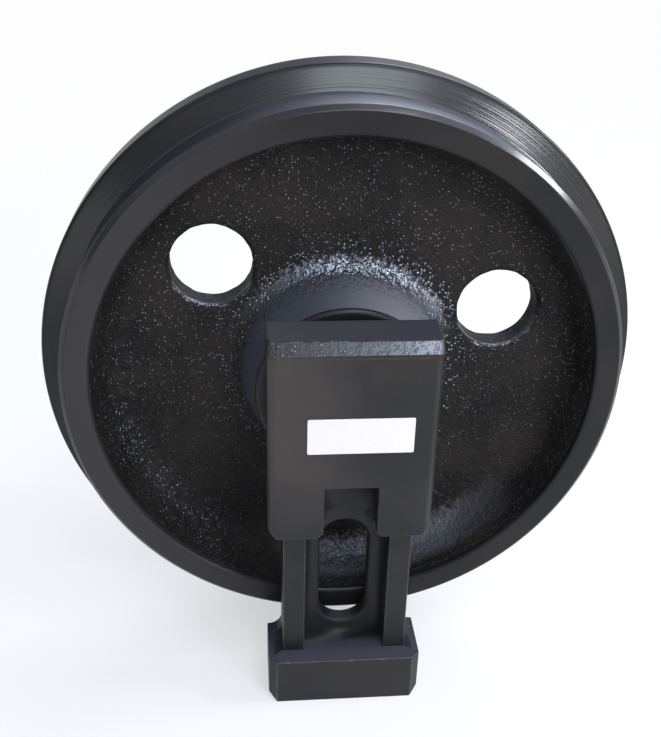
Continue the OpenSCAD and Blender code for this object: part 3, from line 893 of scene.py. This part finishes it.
# %% Rough lip and pieces
LIP_GRID, LIP_GRID_UP = 0.0012, 0.00084
LIP_WAVE, LIP_DEPTH = 0.0032, 0.00045
LIP_SLOPE = math.sqrt(0.5) - 0.02
LIP_INNER = 0.094
HALF_WIDTH = 0.058
BRACKET_SHARP = math.radians(40)


def is_lip_face(face):
    middle = face.calc_center_median()
    sloping = face.normal.z > LIP_SLOPE and abs(face.normal.y) > LIP_SLOPE
    return sloping and middle.z > LIP_BOTTOM and abs(middle.y) > LIP_INNER


def roughen_lip(body):
    """Cuts the lip into a fine grid and moves its inner points in and out."""
    cuts = [((x, 0, 0), (1, 0, 0)) for x in np.arange(-HALF_WIDTH, HALF_WIDTH, LIP_GRID)]
    cuts += [((0, 0, z), (0, 0, 1)) for z in np.arange(LIP_BOTTOM, HEAD_TOP, LIP_GRID_UP)]
    for place, normal in cuts:
        faces = [f for f in body.faces if is_lip_face(f)]
        geometry = set(faces) | {e for f in faces for e in f.edges} | {v for f in faces for v in f.verts}
        bmesh.ops.bisect_plane(body, geom=list(geometry), plane_co=place, plane_no=normal, dist=1e-6)
    body.normal_update()
    faces = {f for f in body.faces if is_lip_face(f)}
    for face in faces:
        face.material_index = LIP_SLOT
    for vertex in {v for f in faces for v in f.verts}:
        if all(f in faces for f in vertex.link_faces):
            vertex.co += vertex.normal * LIP_DEPTH * noise.fractal(vertex.co / LIP_WAVE, 1.0, 2.0, 2)


def bracket_piece(node, body):
    roughen_lip(body)
    bmesh.ops.triangulate(body, faces=[f for f in body.faces if len(f.verts) > 4])
    bmesh.ops.recalc_face_normals(body, faces=body.faces)
    name = node + "_casting"
    finishes = (BRACKET_PAINT, WORN_AND_HIGHLIGHT_PAINT, LIP_PAINT)
    piece = put(name, painted_mesh(bpy.data.meshes.new(name), body, finishes, BRACKET_SHARP))
    weighted = piece.modifiers.new("flat faces", "WEIGHTED_NORMAL")
    weighted.keep_sharp = True
    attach(piece, "root")
    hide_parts(node)
    return piece


for node, body in bracket_bodies.items():
    piece = bracket_piece(node, body)
    print(piece.name, "has", len(piece.data.polygons), "faces")

# %% [markdown]
# ## Blank label
#
# A plain white label sits on the milled face of the near bracket. White paint on the face would do from
# far off, but paper has an edge and a grain of its own, so it is a thin sheet with rounded corners. It is
# left blank.

# %% Label
LABEL_LEFT, LABEL_RIGHT, LABEL_LOW, LABEL_HIGH = -0.0315, 0.0410, 0.2255, 0.2525
LABEL_FACE, LABEL_THICK, LABEL_CORNER = -0.1083, 0.0003, 0.0012
PAPER_GREY, PAPER_WHITE = (0.76, 0.70, 0.68, 1), (0.82, 0.76, 0.74, 1)
PAPER_DEPTH = 0.00003


def label_paper():
    finish = Finish("label_paper", Specular_IOR_Level=0.3)
    fibres = finish.noise(finish.place(), 420, 3.0)
    finish.relief(fibres, PAPER_DEPTH)
    return finish.cover(
        Base_Color=finish.mix(fibres, PAPER_GREY, PAPER_WHITE),
        Roughness=0.45 + 0.1 * fibres,
    )


sheet = bmesh.new()
corners = [
    (LABEL_LEFT, LABEL_LOW), (LABEL_RIGHT, LABEL_LOW), (LABEL_RIGHT, LABEL_HIGH), (LABEL_LEFT, LABEL_HIGH),
]
base = sheet.faces.new([sheet.verts.new((x, LABEL_FACE, z)) for x, z in corners])
top = bmesh.ops.extrude_face_region(sheet, geom=[base])["geom"]
for vertex in (v for v in top if isinstance(v, bmesh.types.BMVert)):
    vertex.co.y -= LABEL_THICK
uprights = [e for e in sheet.edges if abs(e.verts[0].co.y - e.verts[1].co.y) > LABEL_THICK / 2]
bmesh.ops.bevel(sheet, geom=uprights, offset=LABEL_CORNER, segments=5, profile=0.5, affect="EDGES")
bmesh.ops.recalc_face_normals(sheet, faces=sheet.faces)
label_mesh = bpy.data.meshes.new("blank_label")
sheet.to_mesh(label_mesh)
sheet.free()
label_mesh.materials.append(label_paper())
label = put("blank_label", label_mesh)
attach(label, "root")
print("label:", [round(d / MM, 1) for d in label.dimensions], "mm")

# %% [markdown]
# ## Bare metal and rubber
#
# The pieces inside keep their CAD shape, because it is already right, and each gets the finish of its own
# material. Ground steel has fine scratches round its axis, bronze is mottled, and rubber is dull with a
# faint bloom. One function makes all the metals, since they differ only in colour, shine and the size of
# the mottle.

# %% Small finishes
SCRATCH_SCALE, SCRATCH_DEPTH = 1500, 0.00003
RUBBER_BLACK, RUBBER_BLOOM, BLOOM_DEPTH = (0.012, 0.012, 0.012, 1), (0.035, 0.035, 0.036, 1), 0.00008


def metal(name, dark, light, shine, scale):
    finish = Finish(name, Metallic=1.0)
    mottle = finish.noise(finish.place(), scale, 4.0, 0.6)
    scratches = finish.noise(around_axle(finish), SCRATCH_SCALE, 2.0)
    finish.relief(scratches, SCRATCH_DEPTH)
    return finish.cover(
        Base_Color=finish.mix(mottle, dark, light),
        Roughness=shine + 0.15 * scratches,
    )


def rubber():
    finish = Finish("black_rubber", Specular_IOR_Level=0.35)
    bloom = finish.noise(finish.place(), 180, 4.0)
    finish.relief(bloom, BLOOM_DEPTH)
    return finish.cover(
        Base_Color=finish.mix(bloom, RUBBER_BLACK, RUBBER_BLOOM),
        Roughness=0.55 + 0.2 * bloom,
    )


GROUND_STEEL = metal("ground_steel", (0.42, 0.43, 0.45, 1), (0.62, 0.63, 0.64, 1), 0.22, 90)
SPRING_STEEL = metal("spring_steel", (0.10, 0.10, 0.11, 1), (0.22, 0.22, 0.23, 1), 0.28, 200)
SEAL_IRON = metal("seal_iron", (0.30, 0.30, 0.31, 1), (0.48, 0.48, 0.48, 1), 0.18, 120)
PLUG_STEEL = metal("plug_steel", (0.35, 0.34, 0.30, 1), (0.62, 0.60, 0.52, 1), 0.3, 160)
BRONZE = metal("bronze", (0.36, 0.20, 0.07, 1), (0.62, 0.40, 0.17, 1), 0.26, 140)
COPPER = metal("copper", (0.50, 0.20, 0.10, 1), (0.72, 0.36, 0.22, 1), 0.3, 160)
RUBBER = rubber()
print("small finishes have", [len(m.node_tree.nodes) for m in (GROUND_STEEL, BRONZE, RUBBER)], "nodes")

# %% Finish the inner pieces
FINISH_OF = {
    "shaft": GROUND_STEEL, "lock_pin": GROUND_STEEL, "bush": BRONZE, "wheel_seal_ring": SEAL_IRON,
    "bracket_seal_ring": SEAL_IRON, "wheel_toric": RUBBER, "bracket_toric": RUBBER, "shaft_o_ring": RUBBER,
    "pin_circlip": SPRING_STEEL, "oil_plug": PLUG_STEEL, "plug_washer": COPPER,
}


def kind_of(name):
    return name.removesuffix("_near").removesuffix("_far")


inner = [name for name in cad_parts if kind_of(name) in FINISH_OF]
for name in inner:
    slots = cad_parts[name].data.materials
    slots.clear()
    slots.append(FINISH_OF[kind_of(name)])
print("finished inner pieces:", len(inner))

# %% [markdown]
# ## Floor
#
# The idler stands on a plain white floor. A white surface alone turns grey away from the lamps, and more
# light on it would bleach the idler too. So near the idler, part of the floor is a plain diffuse white
# that keeps its shadow, and further off it turns white by itself for the camera, for reflections and
# through glass.

# %% Lay the floor
FLOOR_HALF = 9.0
FLOOR_WHITE = (0.86, 0.86, 0.86, 1)
GLOW_NEAR, GLOW_FAR = 0.55, 0.97
GLOW_REACH = (0.35, 1.7)
SEEN_RAYS = ("Is Camera Ray", "Is Glossy Ray", "Is Transmission Ray")


def seen_rays(net):
    """1 for rays from the camera, from reflections and through glass, and 0 for light that spreads."""
    seen, *others = (net.node("LightPath", {}, {}, name) for name in SEEN_RAYS)
    for rays in others:
        seen = seen.sum_with("MAXIMUM", seen, rays)
    return seen


def floor_finish():
    finish = Finish("studio_floor", Specular_IOR_Level=0.0, Roughness=1.0, Base_Color=FLOOR_WHITE)
    away = finish.node("VectorMath", {"operation": "LENGTH"}, {0: finish.place()}, "Value")
    share = GLOW_NEAR + (GLOW_FAR - GLOW_NEAR) * finish.step(away, *GLOW_REACH)
    glow = finish.node("Emission", {}, {"Color": (1, 1, 1, 1), "Strength": 1.0})
    plain = Signal(finish, finish.shader.outputs[0])
    both = finish.node("MixShader", {}, {0: share * seen_rays(finish), 1: plain, 2: glow})
    finish.feed(finish.tree.nodes["Material Output"].inputs["Surface"], both)
    return finish.material


floor_corners = [(x * FLOOR_HALF, y * FLOOR_HALF, 0) for x, y in ((-1, -1), (1, -1), (1, 1), (-1, 1))]
floor_mesh = bpy.data.meshes.new("floor")
floor_mesh.from_pydata(floor_corners, [], [(0, 1, 2, 3)])
floor_mesh.materials.append(floor_finish())
floor = put("floor", floor_mesh)
print("floor:", 2 * FLOOR_HALF, "m wide")

# %% [markdown]
# ## Sky and lamps
#
# Black paint shows little of its own colour, so what it reflects matters most. A picture of a studio could
# light it, but then each reflection would be left to chance. Here the sky is pale near the horizon, dark
# above it and a little lighter overhead, so that the tops stay dark. Five soft lamps each have a task: a
# wide one high in front for the upper slopes, one above for the hub's bell and the lip, a small one on the
# right that sparkles in the rough skin, one at the side for the treads, and a high one behind for the
# other side.

# %% Sky
HORIZON, LOW_SKY, HIGH_SKY = (0.96, 0.965, 0.975, 1), (0.14, 0.16, 0.20, 1), (0.54, 0.58, 0.72, 1)
HAZE_RISE, HIGH_RISE = (0.03, 0.11), (0.15, 0.75)

world = bpy.data.worlds.new("studio")
world.use_nodes = True
bpy.context.scene.world = world
sky = Net(world.node_tree)
rise = sky.part(sky.node("TexCoord", {}, {}, "Generated"), "Z")
haze = sky.mix(sky.step(rise, *HAZE_RISE), HORIZON, LOW_SKY)
sky_colour = sky.mix(sky.step(rise, *HIGH_RISE), haze, HIGH_SKY)
sky.feed(world.node_tree.nodes["Background"].inputs["Color"], sky_colour)
bpy.context.scene.view_settings.view_transform = "Standard"
print("sky from", HORIZON[0], "at the horizon to", LOW_SKY[0], "above it and", HIGH_SKY[0], "overhead")

# %% Lamps
HUB = Vector((0, 0, AXLE_HEIGHT))


def softbox(name, place, size, power, colour):
    """An area lamp that looks at the hub."""
    lamp = bpy.data.lights.new(name, "AREA")
    lamp.shape = "RECTANGLE"
    lamp.size, lamp.size_y = size
    lamp.energy = power
    lamp.color = colour
    holder = put(name, lamp)
    holder.location = place
    holder.rotation_euler = (HUB - Vector(place)).to_track_quat("-Z", "Y").to_euler()
    holder.visible_camera = False


softbox("front_lamp", (0.22, -1.25, 1.36), (0.60, 1.10), 11.5, (0.84, 0.91, 1.0))
softbox("top_lamp", (0.42, -0.62, 1.50), (0.50, 0.50), 5.0, (0.88, 0.93, 1.0))
softbox("right_lamp", (0.85, -1.20, 0.68), (0.26, 0.26), 5.5, (0.92, 0.95, 1.0))
softbox("side_lamp", (1.50, -0.10, 1.15), (0.55, 0.45), 18, (0.88, 0.93, 1.0))
softbox("back_lamp", (0.70, 1.30, 1.55), (1.2, 0.8), 20, (0.86, 0.92, 1.0))
